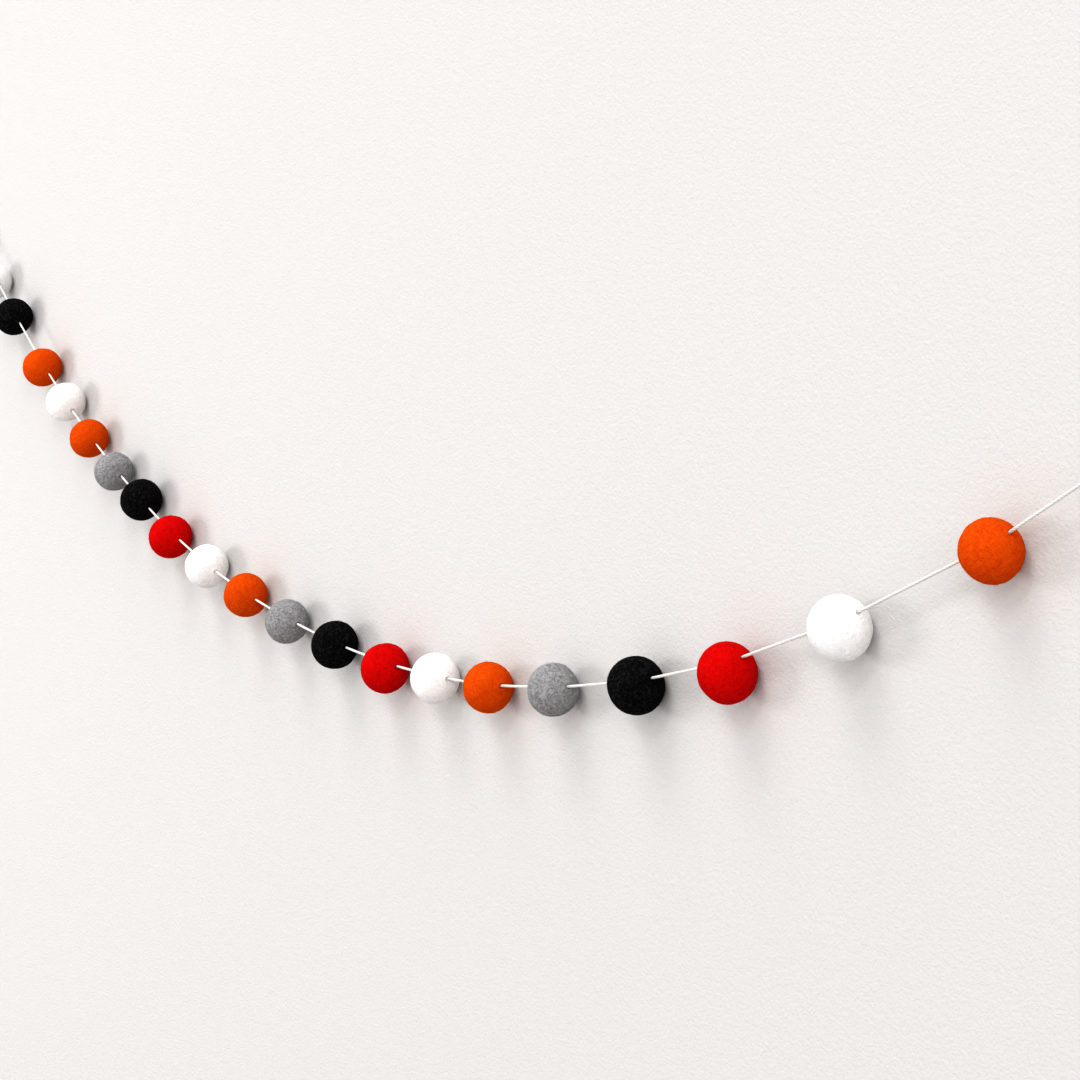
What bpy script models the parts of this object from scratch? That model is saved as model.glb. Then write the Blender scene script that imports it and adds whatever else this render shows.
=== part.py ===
"""Felt ball garland: twenty wool balls threaded on one white string, hung in a soft bow.

Metres, +Z up. X runs from the left end to the right, +Y points away from the viewer, and the string
lies in the plane Y = 0. The origin is where the left hanging loop bears on whatever holds it.
"""

import math
from collections import namedtuple

import bmesh
import bpy
from mathutils import Vector, noise

MM = 0.001

# String, tied off at each end into a loop that leaves a short tail. The loop is a drop shape whose legs
# would meet at LOOP_LENGTH from its bearing point, and they go into the knot a little before that.
STRING_DIAMETER = 1.5 * MM
STRING_SIDE_STEPS = 2
FIT_GAP = 0.3 * MM
LOOP_LENGTH = 24.0 * MM
LOOP_SPREAD = 6.5 * MM
LOOP_NARROWING = 1.2
LOOP_POINTS = 12
LEG_START = 0.62
KNOT_START = 22.4 * MM
KNOT_LENGTH = 6.5 * MM
KNOT_DIAMETER = 5.6 * MM
KNOT_WRAPS = 3
KNOT_GROOVE = 0.12
KNOT_SHOULDER = 0.16
KNOT_SIDES = 12
TAIL_LENGTH = 12.0 * MM
TAIL_OFFSET = 1.85 * MM
TAIL_DROOP = 0.35
TAIL_POINTS = 4

# The two ends of the string: its length between the loop's bearing point and the nearest ball's
# middle, and its climb there in degrees
LEFT_LEAD = 70.0 * MM
LEFT_CLIMB = -43.4
RIGHT_LEAD = 90.0 * MM

# Felt balls: squeezed along the needle hole, and a little uneven from hand felting, each in its own way
# a step farther through the same unevenness
SQUEEZE = 0.92
UNEVEN = 0.022
UNEVEN_PITCH = 1.3
UNEVEN_STEP = Vector((11.7, 5.3, 0.0))
BALL_CUTS = 5
# The string's bend is eased over this share of the ball, to each side of its middle
BEND_SHARE = 0.34
BEND_SAMPLES = (0.1, 0.9)
CREASE_ANGLE = 50.0

# One row for each ball, from left to right. diameter is across the hole, step is the string's length
# from the ball before, climb is the string's angle after the ball, and drop is how far the ball's
# middle hangs below the string. Millimetres and degrees.
Ball = namedtuple("Ball", "colour diameter step climb drop")
BALLS = (
    Ball("white", 25.0, 0.0, -40.5, 4.4),
    Ball("black", 25.1, 43.5, -38.6, 2.3),
    Ball("orange", 25.4, 58.8, -36.2, 2.2),
    Ball("white", 25.1, 43.4, -33.7, 0.6),
    Ball("orange", 24.4, 42.2, -31.0, 1.9),
    Ball("grey", 24.1, 41.1, -28.8, 2.2),
    Ball("black", 25.3, 41.4, -26.8, 0.0),
    Ball("red", 25.6, 43.8, -22.8, 2.7),
    Ball("white", 25.0, 47.6, -18.9, 0.9),
    Ball("orange", 24.6, 48.3, -15.6, 0.8),
    Ball("grey", 24.1, 47.2, -12.8, 1.4),
    Ball("black", 25.1, 50.6, -9.6, 0.9),
    Ball("red", 25.3, 49.4, -5.8, 2.6),
    Ball("white", 24.7, 45.0, -2.4, 0.8),
    Ball("orange", 24.3, 45.0, 1.7, 1.1),
    Ball("grey", 24.4, 51.2, 5.7, 0.9),
    Ball("black", 25.8, 59.8, 10.1, 1.9),
    Ball("red", 25.8, 59.8, 15.8, 4.2),
    Ball("white", 26.4, 68.5, 21.0, 2.4),
    Ball("orange", 24.6, 83.0, 27.2, 2.1),
)

# Finishes: base colour and roughness
Finish = namedtuple("Finish", "red green blue roughness")
FINISHES = {
    "white": Finish(0.88, 0.86, 0.83, 0.95),
    "black": Finish(0.006, 0.006, 0.006, 0.95),
    "orange": Finish(0.84, 0.075, 0.004, 0.95),
    "grey": Finish(0.27, 0.265, 0.26, 0.95),
    "red": Finish(0.70, 0.003, 0.003, 0.95),
    "string": Finish(0.90, 0.88, 0.85, 0.80),
}


def heading(climb):
    """The unit vector that climbs by this many degrees on its way to the right."""
    angle = math.radians(climb)
    return Vector((math.cos(angle), 0.0, math.sin(angle)))


def across(direction):
    """The unit vector square to a direction, in the string's plane and on its upper side."""
    return Vector((-direction.z, 0.0, direction.x))


def bend_points():
    """Where the string bends: one point in the middle of each ball's needle hole."""
    points = [heading(LEFT_CLIMB) * LEFT_LEAD]
    for before, ball in zip(BALLS, BALLS[1:]):
        points.append(points[-1] + heading(before.climb) * ball.step * MM)
    return points


def incoming(index):
    """The string's direction on the stretch before a ball."""
    return heading(BALLS[index - 1].climb if index else LEFT_CLIMB)


def hole_direction(index):
    """The direction of a ball's needle hole: midway between the stretches on its two sides."""
    return (incoming(index) + heading(BALLS[index].climb)).normalized()


def string_run():
    """The string's middle line between the two knots, with each bend eased inside its ball."""
    points = [heading(LEFT_CLIMB) * (KNOT_START + KNOT_LENGTH + FIT_GAP)]
    bends = bend_points()
    for index, (ball, bend) in enumerate(zip(BALLS, bends)):
        ease = BEND_SHARE * ball.diameter * MM
        start = bend - incoming(index) * ease
        end = bend + heading(ball.climb) * ease
        for share in BEND_SAMPLES:
            rest = 1 - share
            points.append(start * rest**2 + bend * 2 * share * rest + end * share**2)
    last = heading(BALLS[-1].climb)
    points.append(bends[-1] + last * (RIGHT_LEAD - KNOT_START - KNOT_LENGTH - FIT_GAP))
    return points


def end_frames():
    """For each end of the string: its name, the loop's bearing point and the way from it to the knot."""
    last = heading(BALLS[-1].climb)
    return (
        ("left", Vector((0.0, 0.0, 0.0)), heading(LEFT_CLIMB)),
        ("right", bend_points()[-1] + last * RIGHT_LEAD, -last),
    )


def loop_points(bearing, inward):
    """The hanging loop's middle line, a drop shape from one leg round the crown to the other."""
    side = across(inward)
    crown = bearing - inward * STRING_DIAMETER / 2
    reach = LOOP_LENGTH + STRING_DIAMETER / 2
    points = []
    for step in range(LOOP_POINTS):
        turn = LEG_START + (2 * math.pi - 2 * LEG_START) * step / (LOOP_POINTS - 1)
        along = reach * (1 + math.cos(turn)) / 2
        out = LOOP_SPREAD * math.sin(turn) * math.sin(turn / 2) ** LOOP_NARROWING
        points.append(crown + inward * along + side * out)
    return points


def knot_middle(bearing, inward):
    """The middle of an end knot."""
    return bearing + inward * (KNOT_START + KNOT_LENGTH / 2)


def tail_points(bearing, inward):
    """The short loose end: out of the knot beside the string, then drooping under its own weight."""
    side = across(inward)
    if side.z > 0:
        side = -side
    start = knot_middle(bearing, inward) + inward * (KNOT_LENGTH / 2 + FIT_GAP) + side * TAIL_OFFSET
    points = []
    for step in range(TAIL_POINTS):
        along = TAIL_LENGTH * step / (TAIL_POINTS - 1)
        droop = TAIL_DROOP * along**2 / TAIL_LENGTH
        points.append(start + inward * (along - droop / 2) + side * droop)
    return points


def finish(name):
    """The material of this name, made once."""
    found = bpy.data.materials.get(name)
    if found:
        return found
    values = FINISHES[name]
    material = bpy.data.materials.new(name)
    material.use_nodes = True
    shader = material.node_tree.nodes["Principled BSDF"]
    shader.inputs["Base Color"].default_value = (values.red, values.green, values.blue, 1.0)
    shader.inputs["Roughness"].default_value = values.roughness
    shader.inputs["Metallic"].default_value = 0.0
    return material


def add_object(name, data, material_name):
    """Adds an object with its material to the scene."""
    made = bpy.data.objects.new(name, data)
    bpy.context.scene.collection.objects.link(made)
    if material_name:
        data.materials.append(finish(material_name))
    return made


def string_curve(name, points, radius):
    """A round string along the points, with closed ends."""
    curve = bpy.data.curves.new(name, "CURVE")
    curve.dimensions = "3D"
    curve.bevel_depth = radius
    curve.bevel_resolution = STRING_SIDE_STEPS
    curve.use_fill_caps = True
    spline = curve.splines.new("POLY")
    spline.points.add(len(points) - 1)
    for point, place in zip(spline.points, points):
        point.co = (*place, 1.0)
    return curve


def hole_cutter(points):
    """The path of the needle through every ball, wider than the string by the gap."""
    path = bpy.data.objects.new("needle_path_curve", string_curve("needle_path", points,
                                                                  STRING_DIAMETER / 2 + FIT_GAP))
    bpy.context.scene.collection.objects.link(path)
    bpy.context.view_layer.update()
    evaluated = path.evaluated_get(bpy.context.evaluated_depsgraph_get())
    mesh = bpy.data.meshes.new_from_object(evaluated)
    bpy.data.objects.remove(path, do_unlink=True)
    cutter = add_object("needle_path", mesh, None)
    cutter.hide_render = True
    cutter.display_type = "WIRE"
    return cutter


def felted(direction, index):
    """How far a ball's surface stands in or out there, as a share of its radius."""
    return 1 + UNEVEN * noise.noise(direction * UNEVEN_PITCH + UNEVEN_STEP * index)


def ball_mesh(name, ball, index):
    """One felt ball around its own origin, with its needle hole's direction along X."""
    model = bmesh.new()
    bmesh.ops.create_cube(model, size=2.0)
    bmesh.ops.subdivide_edges(model, edges=model.edges[:], cuts=BALL_CUTS, use_grid_fill=True)
    for corner in model.verts:
        even = Vector([math.tan(value * math.pi / 4) for value in corner.co])
        direction = even.normalized()
        corner.co = direction * felted(direction, index) * ball.diameter * MM / 2
        corner.co.x *= SQUEEZE
    mesh = bpy.data.meshes.new(name)
    model.to_mesh(mesh)
    model.free()
    mesh.shade_smooth()
    return mesh


def add_ball(index, ball, bend, cutter):
    """Hangs one ball on the string and pierces it along the string's own path."""
    name = f"ball_{index + 1:02d}_{ball.colour}"
    made = add_object(name, ball_mesh(name, ball, index), ball.colour)
    direction = hole_direction(index)
    made.location = bend - across(direction) * ball.drop * MM
    made.rotation_euler = (0.0, -math.atan2(direction.z, direction.x), 0.0)
    hole = made.modifiers.new("needle hole", "BOOLEAN")
    hole.operation = "DIFFERENCE"
    hole.solver = "EXACT"
    hole.object = cutter
    return made


def knot_profile():
    """The knot's outline from one end face to the other: a fat barrel with a groove between its wraps."""
    steps = 4 * KNOT_WRAPS
    outline = []
    for step in range(steps + 1):
        share = step / steps
        bulge = math.sin(math.pi * (KNOT_SHOULDER + (1 - 2 * KNOT_SHOULDER) * share)) ** 0.5
        wrap = 1 - KNOT_GROOVE * (1 + math.cos(2 * math.pi * KNOT_WRAPS * share)) / 2
        outline.append(((share - 0.5) * KNOT_LENGTH, KNOT_DIAMETER / 2 * bulge * wrap))
    return outline


def add_knot(name, bearing, inward):
    """An end knot, turned about its own length."""
    model = bmesh.new()
    rings = []
    angles = [2 * math.pi * side / KNOT_SIDES for side in range(KNOT_SIDES)]
    for along, radius in knot_profile():
        rings.append([model.verts.new((along, radius * math.cos(a), radius * math.sin(a))) for a in angles])
    for first, second in zip(rings, rings[1:]):
        for side in range(KNOT_SIDES):
            after = (side + 1) % KNOT_SIDES
            model.faces.new((first[side], second[side], second[after], first[after]))
    model.faces.new(rings[0])
    model.faces.new(reversed(rings[-1]))
    bmesh.ops.recalc_face_normals(model, faces=model.faces[:])
    mesh = bpy.data.meshes.new(name)
    model.to_mesh(mesh)
    model.free()
    mesh.shade_smooth()
    mesh.set_sharp_from_angle(angle=math.radians(CREASE_ANGLE))
    knot = add_object(name, mesh, "string")
    knot.location = knot_middle(bearing, inward)
    knot.rotation_euler = (0.0, -math.atan2(inward.z, inward.x), 0.0)
    return knot


def clear_scene():
    """Removes whatever the scene holds."""
    for found in list(bpy.data.objects):
        bpy.data.objects.remove(found, do_unlink=True)


def build():
    """Makes the whole garland."""
    clear_scene()
    run = string_run()
    add_object("string", string_curve("string", run, STRING_DIAMETER / 2), "string")
    cutter = hole_cutter(run)
    for index, (ball, bend) in enumerate(zip(BALLS, bend_points())):
        add_ball(index, ball, bend, cutter)
    for side, bearing, inward in end_frames():
        loop = string_curve(f"loop_{side}", loop_points(bearing, inward), STRING_DIAMETER / 2)
        add_object(f"loop_{side}", loop, "string")
        add_knot(f"knot_{side}", bearing, inward)
        tail = string_curve(f"tail_{side}", tail_points(bearing, inward), STRING_DIAMETER / 2)
        add_object(f"tail_{side}", tail, "string")


build()
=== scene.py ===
"""Dresses the felt ball garland: twenty wet-felted wool balls threaded on one twisted white string.

Metres, +Z up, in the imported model's own frame: X runs from the left end to the right, +Y points away
from the viewer, and the string lies in the plane Y = 0.
"""

import logging
import math
from contextlib import contextmanager
from dataclasses import dataclass
from enum import Enum
from typing import Iterator

import bpy
import numpy as np
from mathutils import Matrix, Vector, noise


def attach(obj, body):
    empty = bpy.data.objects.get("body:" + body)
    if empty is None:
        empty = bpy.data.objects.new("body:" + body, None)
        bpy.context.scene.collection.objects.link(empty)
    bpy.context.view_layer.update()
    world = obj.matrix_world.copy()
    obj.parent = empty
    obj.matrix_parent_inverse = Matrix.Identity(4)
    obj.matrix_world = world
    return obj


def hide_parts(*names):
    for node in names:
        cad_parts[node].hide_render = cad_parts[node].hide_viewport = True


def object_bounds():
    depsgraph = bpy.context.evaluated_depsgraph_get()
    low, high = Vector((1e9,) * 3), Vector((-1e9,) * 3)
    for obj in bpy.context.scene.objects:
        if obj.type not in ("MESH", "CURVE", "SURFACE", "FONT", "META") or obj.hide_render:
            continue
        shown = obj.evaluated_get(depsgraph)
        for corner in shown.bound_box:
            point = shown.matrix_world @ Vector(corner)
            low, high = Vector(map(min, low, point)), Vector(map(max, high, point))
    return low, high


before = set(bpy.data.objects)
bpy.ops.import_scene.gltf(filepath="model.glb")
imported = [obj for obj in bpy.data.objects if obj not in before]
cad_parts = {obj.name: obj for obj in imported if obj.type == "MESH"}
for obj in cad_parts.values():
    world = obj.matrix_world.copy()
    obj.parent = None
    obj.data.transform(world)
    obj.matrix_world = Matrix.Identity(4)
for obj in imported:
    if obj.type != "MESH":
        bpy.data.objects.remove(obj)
cad_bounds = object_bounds()

log = logging.getLogger("garland")

MM = 0.001
BAKE_MAP = "OFBake"
Colour = tuple[float, float, float]
Place = tuple[float, float, float]
Piece = bpy.types.Object
Mesh = bpy.types.Mesh
Material = bpy.types.Material
Node = bpy.types.Node
Socket = bpy.types.NodeSocket
Tree = bpy.types.NodeTree
Outputs = bpy.types.bpy_prop_collection
Feeds = dict[str | int, object]


class Wool(Enum):
    """The colours of the felt, each with the record's material slot."""

    WHITE = "felt_white"
    BLACK = "felt_black"
    ORANGE = "felt_orange"
    GREY = "felt_grey"
    RED = "felt_red"


class End(Enum):
    """The two ends of the string."""

    LEFT = "left"
    RIGHT = "right"


@dataclass(frozen=True)
class Threading:
    """How one ball sits on the string.

    Attributes:
        wool: the colour of its felt.
        diameter: its width across the needle hole, in millimetres.
        step: the string's length from the ball before, in millimetres.
        climb: the string's angle after the ball, in degrees.
        drop: how far the ball's middle hangs below the string, in millimetres.
    """

    wool: Wool
    diameter: float
    step: float
    climb: float
    drop: float


THREADING = (
    Threading(Wool.WHITE, 25.0, 0.0, -40.5, 4.4),
    Threading(Wool.BLACK, 25.1, 43.5, -38.6, 2.3),
    Threading(Wool.ORANGE, 25.4, 58.8, -36.2, 2.2),
    Threading(Wool.WHITE, 25.1, 43.4, -33.7, 0.6),
    Threading(Wool.ORANGE, 24.4, 42.2, -31.0, 1.9),
    Threading(Wool.GREY, 24.1, 41.1, -28.8, 2.2),
    Threading(Wool.BLACK, 25.3, 41.4, -26.8, 0.0),
    Threading(Wool.RED, 25.6, 43.8, -22.8, 2.7),
    Threading(Wool.WHITE, 25.0, 47.6, -18.9, 0.9),
    Threading(Wool.ORANGE, 24.6, 48.3, -15.6, 0.8),
    Threading(Wool.GREY, 24.1, 47.2, -12.8, 1.4),
    Threading(Wool.BLACK, 25.1, 50.6, -9.6, 0.9),
    Threading(Wool.RED, 25.3, 49.4, -5.8, 2.6),
    Threading(Wool.WHITE, 24.7, 45.0, -2.4, 0.8),
    Threading(Wool.ORANGE, 24.3, 45.0, 1.7, 1.1),
    Threading(Wool.GREY, 24.4, 51.2, 5.7, 0.9),
    Threading(Wool.BLACK, 25.8, 59.8, 10.1, 1.9),
    Threading(Wool.RED, 25.8, 59.8, 15.8, 4.2),
    Threading(Wool.WHITE, 26.4, 68.5, 21.0, 2.4),
    Threading(Wool.ORANGE, 24.6, 83.0, 27.2, 2.1),
)


def heading(climb: float) -> Vector:
    """The unit vector that climbs by this many degrees on its way to the right."""
    angle = math.radians(climb)
    return Vector((math.cos(angle), 0.0, math.sin(angle)))


def across(direction: Vector) -> Vector:
    """The unit vector square to a direction, in the string's plane and on its upper side."""
    return Vector((-direction.z, 0.0, direction.x))


def evenly(points: list[Vector], spacing: float) -> list[Vector]:
    """Walks a line of points again in even steps.

    Args:
        points: the line's own points.
        spacing: the wished distance between two points, in metres.

    Returns:
        Points on the same line, evenly apart, with its two ends.
    """
    places = np.array([tuple(point) for point in points])
    lengths = np.linalg.norm(np.diff(places, axis=0), axis=1)
    along = np.concatenate([[0.0], np.cumsum(lengths)])
    stations = np.linspace(0.0, along[-1], max(2, round(along[-1] / spacing) + 1))
    columns = [np.interp(stations, along, places[:, axis]) for axis in range(3)]
    return [Vector(place) for place in zip(*columns)]


def smooth(points: list[Vector], cuts: int) -> list[Vector]:
    """Draws a smooth curve through points, with a tangent at each that is taken from its neighbours.

    Args:
        points: the places that the curve passes through.
        cuts: how many pieces each stretch between two places is cut into.

    Returns:
        The curve's points, from the first place to the last.
    """
    guarded = [points[0] * 2 - points[1], *points, points[-1] * 2 - points[-2]]
    drawn = []
    for before, start, end, after in zip(guarded, guarded[1:], guarded[2:], guarded[3:]):
        reach = (end - start).length
        leaving = (end - before).normalized() * reach
        arriving = (after - start).normalized() * reach
        for cut in range(cuts):
            t = cut / cuts
            near = start * (2 * t**3 - 3 * t**2 + 1) + leaving * (t**3 - 2 * t**2 + t)
            far = end * (3 * t**2 - 2 * t**3) + arriving * (t**3 - t**2)
            drawn.append(near + far)
    drawn.append(points[-1])
    return drawn


@dataclass(frozen=True)
class Route:
    """The string's way from one loose tail to the other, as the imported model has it.

    Attributes are lengths in metres and angles in degrees.
    """

    diameter: float = 1.5 * MM
    fit_gap: float = 0.3 * MM
    loop_length: float = 24.0 * MM
    loop_spread: float = 6.5 * MM
    loop_narrowing: float = 1.2
    loop_points: int = 15
    leg_start: float = 0.62
    knot_start: float = 22.4 * MM
    knot_length: float = 6.5 * MM
    tail_length: float = 12.0 * MM
    tail_offset: float = 1.85 * MM
    tail_droop: float = 0.35
    tail_points: int = 5
    left_lead: float = 70.0 * MM
    left_climb: float = -43.4
    right_lead: float = 90.0 * MM
    bend_share: float = 0.34
    bend_cuts: int = 6
    end_cuts: int = 8

    def bends(self) -> list[Vector]:
        """Where the string bends: one point in the middle of each ball's needle hole."""
        points = [heading(self.left_climb) * self.left_lead]
        for before, ball in zip(THREADING, THREADING[1:]):
            points.append(points[-1] + heading(before.climb) * ball.step * MM)
        return points

    def arriving(self, index: int) -> Vector:
        """The string's direction on the stretch before a ball."""
        return heading(THREADING[index - 1].climb if index else self.left_climb)

    def hole_direction(self, index: int) -> Vector:
        """The direction of a ball's needle hole, midway between the stretches on its two sides."""
        return (self.arriving(index) + heading(THREADING[index].climb)).normalized()

    def end_frame(self, end: End) -> tuple[Vector, Vector]:
        """Where an end's loop bears on what holds it, and the way from there to the knot."""
        if end is End.LEFT:
            return Vector((0.0, 0.0, 0.0)), heading(self.left_climb)
        last = heading(THREADING[-1].climb)
        return self.bends()[-1] + last * self.right_lead, -last

    def knot_middle(self, end: End) -> Vector:
        """The middle of an end knot."""
        bearing, inward = self.end_frame(end)
        return bearing + inward * (self.knot_start + self.knot_length / 2)

    def run(self) -> list[Vector]:
        """The string between the two knots, straight but for an eased bend inside each ball."""
        knot_end = self.knot_start + self.knot_length + self.fit_gap
        bends = self.bends()
        points = [heading(self.left_climb) * knot_end]
        for index, (ball, bend) in enumerate(zip(THREADING, bends)):
            ease = self.bend_share * ball.diameter * MM
            start = bend - self.arriving(index) * ease
            end = bend + heading(ball.climb) * ease
            for cut in range(self.bend_cuts + 1):
                share = cut / self.bend_cuts
                rest = 1 - share
                points.append(start * rest**2 + bend * 2 * share * rest + end * share**2)
        points.append(bends[-1] + heading(THREADING[-1].climb) * (self.right_lead - knot_end))
        return points

    def loop(self, end: End) -> list[Vector]:
        """The hanging loop, a drop shape from one leg round the crown to the other."""
        bearing, inward = self.end_frame(end)
        side = across(inward)
        crown = bearing - inward * self.diameter / 2
        reach = self.loop_length + self.diameter / 2
        points = []
        for step in range(self.loop_points):
            turn = self.leg_start + 2 * (math.pi - self.leg_start) * step / (self.loop_points - 1)
            along = reach * (1 + math.cos(turn)) / 2
            out = self.loop_spread * math.sin(turn) * math.sin(turn / 2) ** self.loop_narrowing
            points.append(crown + inward * along + side * out)
        return points

    def tail(self, end: End) -> list[Vector]:
        """The short loose end: out of the knot beside the string, then drooping under its own weight."""
        _, inward = self.end_frame(end)
        side = across(inward)
        if side.z > 0:
            side = -side
        leave = self.knot_length / 2 + self.fit_gap
        start = self.knot_middle(end) + inward * leave + side * self.tail_offset
        points = []
        for step in range(self.tail_points):
            along = self.tail_length * step / (self.tail_points - 1)
            droop = self.tail_droop * along**2 / self.tail_length
            points.append(start + inward * (along - droop / 2) + side * droop)
        return points

    def whole(self) -> list[Vector]:
        """The whole string: tail, loop, the run through the balls, and the same at the other end."""
        run = self.run()
        left = self.tail(End.LEFT)[::-1] + self.loop(End.LEFT)[::-1] + run[:2]
        right = run[-2:] + self.loop(End.RIGHT)[::-1] + self.tail(End.RIGHT)
        return smooth(left, self.end_cuts) + run[2:-2] + smooth(right, self.end_cuts)


def deselect_all() -> None:
    """Leaves nothing selected, in object mode."""
    if bpy.context.object and bpy.context.object.mode != "OBJECT":
        bpy.ops.object.mode_set(mode="OBJECT")
    bpy.ops.object.select_all(action="DESELECT")


@contextmanager
def editing(piece: Piece, near: Vector | None = None, reach: float = 0.0) -> Iterator[None]:
    """Opens a piece in edit mode and closes it again.

    Args:
        piece: the piece.
        near: a place in the piece's own coordinates, or None to select all of the piece.
        reach: how far from that place points are still selected.
    """
    bpy.context.view_layer.objects.active = piece
    bpy.ops.object.mode_set(mode="EDIT")
    bpy.ops.mesh.select_all(action="DESELECT" if near else "SELECT")
    if near:
        bpy.ops.object.mode_set(mode="OBJECT")
        for vertex in piece.data.vertices:
            vertex.select = (vertex.co - near).length < reach
        bpy.ops.object.mode_set(mode="EDIT")
    yield
    bpy.ops.object.mode_set(mode="OBJECT")


def settle() -> None:
    """Takes the selected piece's place, turn and size into its mesh."""
    bpy.ops.object.transform_apply(location=True, rotation=True, scale=True)


def apply_modifiers(piece: Piece) -> None:
    """Makes every modifier of a piece part of its mesh."""
    bpy.context.view_layer.objects.active = piece
    for modifier in list(piece.modifiers):
        bpy.ops.object.modifier_apply(modifier=modifier.name)


def add_object(name: str, data: bpy.types.ID) -> Piece:
    """Adds an object to the scene's own collection."""
    made = bpy.data.objects.new(name, data)
    bpy.context.scene.collection.objects.link(made)
    return made


def mesh_object(name: str, points: np.ndarray, faces: list[tuple[int, ...]]) -> Piece:
    """Adds a mesh object from its points and faces.

    Args:
        name: the object's and the mesh's name.
        points: one row for each point, in metres.
        faces: the points of each face, in order.

    Returns:
        The object, in the scene's own collection.
    """
    mesh = bpy.data.meshes.new(name)
    mesh.from_pydata(points.tolist(), [], faces)
    mesh.update()
    return add_object(name, mesh)


def set_map(mesh: Mesh, name: str, corners: np.ndarray) -> None:
    """Writes a UV map, one row of two numbers for each face corner."""
    layer = mesh.uv_layers.get(name) or mesh.uv_layers.new(name=name)
    layer.data.foreach_set("uv", corners.astype(np.float32).ravel())


@dataclass(frozen=True)
class PliedStrand:
    """A cotton string of three plies twisted together, swept along a path.

    Attributes:
        diameter: over the crowns of the plies.
        ply_share: a ply's radius as a share of the string's.
        pitch: the length in which a ply winds once round the string.
        spacing: the distance between two rings of the mesh.
        ply_sides: mesh sides on each ply.
        cap_rings: rings that round off each cut end.
        bake_rows: strips that the unrolled string is laid out in for its bake map.
        bake_share: how much of the bake map's width the strips take, beside the string's two end faces.
    """

    diameter: float = 1.5 * MM
    ply_share: float = 0.8
    pitch: float = 5.4 * MM
    spacing: float = 0.45 * MM
    ply_sides: int = 5
    cap_rings: int = 3
    bake_rows: int = 16
    bake_share: float = 0.96

    PLIES = 3
    ROW_MARGIN = 0.04

    def section(self) -> np.ndarray:
        """The outline of the three plies, as the radius at each mesh side."""
        ply = self.ply_share * self.diameter / 2
        middle = self.diameter / 2 - ply
        lean = np.linspace(-1.0, 1.0, self.ply_sides, endpoint=False) * math.pi / self.PLIES
        lobe = middle * np.cos(lean) + np.sqrt(ply**2 - (middle * np.sin(lean)) ** 2)
        return np.tile(lobe, self.PLIES)

    def frames(self, path: np.ndarray) -> tuple[np.ndarray, np.ndarray]:
        """Two unit vectors square to the path at each point, which don't turn about it of themselves."""
        ahead = np.gradient(path, axis=0)
        ahead /= np.linalg.norm(ahead, axis=1)[:, None]
        first = np.zeros_like(path)
        first[0] = np.cross(ahead[0], (0.0, 0.0, 1.0))
        for ring in range(len(path)):
            carried = first[max(ring - 1, 0)]
            square = carried - ahead[ring] * carried.dot(ahead[ring])
            first[ring] = square / np.linalg.norm(square)
        return first, np.cross(ahead, first)

    def build(self, name: str, path: list[Vector]) -> tuple[Piece, np.ndarray]:
        """Sweeps the string's section along a path, twisting it as it goes.

        Args:
            name: the piece's name.
            path: the string's middle line.

        Returns:
            The piece, and its ring centres, one row for each.
        """
        centres = np.array([tuple(point) for point in evenly(path, self.spacing)])
        first, second = self.frames(centres)
        radii = self.section()
        sides, rings = len(radii), len(centres)
        angles = np.linspace(0.0, 2 * math.pi, sides, endpoint=False)
        twist = np.arange(rings) * self.spacing * 2 * math.pi / self.pitch
        from_end = np.minimum(np.arange(rings), np.arange(rings)[::-1])
        close = np.clip((from_end + 0.5) / self.cap_rings, 0.0, 1.0)
        cap = np.sqrt(1 - (1 - close) ** 2)
        turned = angles[None, :] + twist[:, None]
        radial = (np.cos(turned)[..., None] * first[:, None, :]
                  + np.sin(turned)[..., None] * second[:, None, :])
        points = centres[:, None, :] + radial * (radii[None, :] * cap[:, None])[..., None]
        faces = []
        for ring in range(rings - 1):
            here, there = ring * sides, (ring + 1) * sides
            for side in range(sides):
                after = (side + 1) % sides
                faces.append((here + side, here + after, there + after, there + side))
        faces.append(tuple(range(sides))[::-1])
        faces.append(tuple(range((rings - 1) * sides, rings * sides)))
        made = mesh_object(name, points.reshape(-1, 3), faces)
        made.data.shade_smooth()
        self.lay_out(made.data, rings, sides)
        return made, centres

    def lay_out(self, mesh: Mesh, rings: int, sides: int) -> None:
        """Unrolls the string twice: once at its real size for the fibres, and once in strips for the bake.

        Args:
            mesh: the swept mesh, with its ring faces first and its two end faces last.
            rings: how many rings it has.
            sides: how many sides each ring has.
        """
        ring, side = np.divmod(np.arange((rings - 1) * sides), sides)
        along = np.stack([ring, ring, ring + 1, ring + 1], axis=1)
        around = np.stack([side, side + 1, side + 1, side], axis=1)
        ends = 2 * sides
        strand = np.stack([along * self.spacing, around / sides], axis=2).reshape(-1, 2)
        strand = np.concatenate([strand, np.zeros((ends, 2))])
        set_map(mesh, "strand", strand)
        per_row = math.ceil((rings - 1) / self.bake_rows)
        row = (ring // per_row)[:, None]
        across_map = self.bake_share * (along - row * per_row) / per_row
        up_map = (row + self.ROW_MARGIN + (1 - 2 * self.ROW_MARGIN) * around / sides) / self.bake_rows
        strips = np.stack([across_map, up_map], axis=2).reshape(-1, 2)
        turn = -np.linspace(0.0, 2 * math.pi, sides, endpoint=False)
        free = 1 - self.bake_share
        disc = np.stack([np.cos(turn), np.sin(turn)], axis=1) * free / 3
        caps = [disc + (1 - free / 2, height) for height in (0.25, 0.75)]
        set_map(mesh, BAKE_MAP, np.concatenate([strips, *caps]))
        mesh.uv_layers[BAKE_MAP].active_render = True


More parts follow.
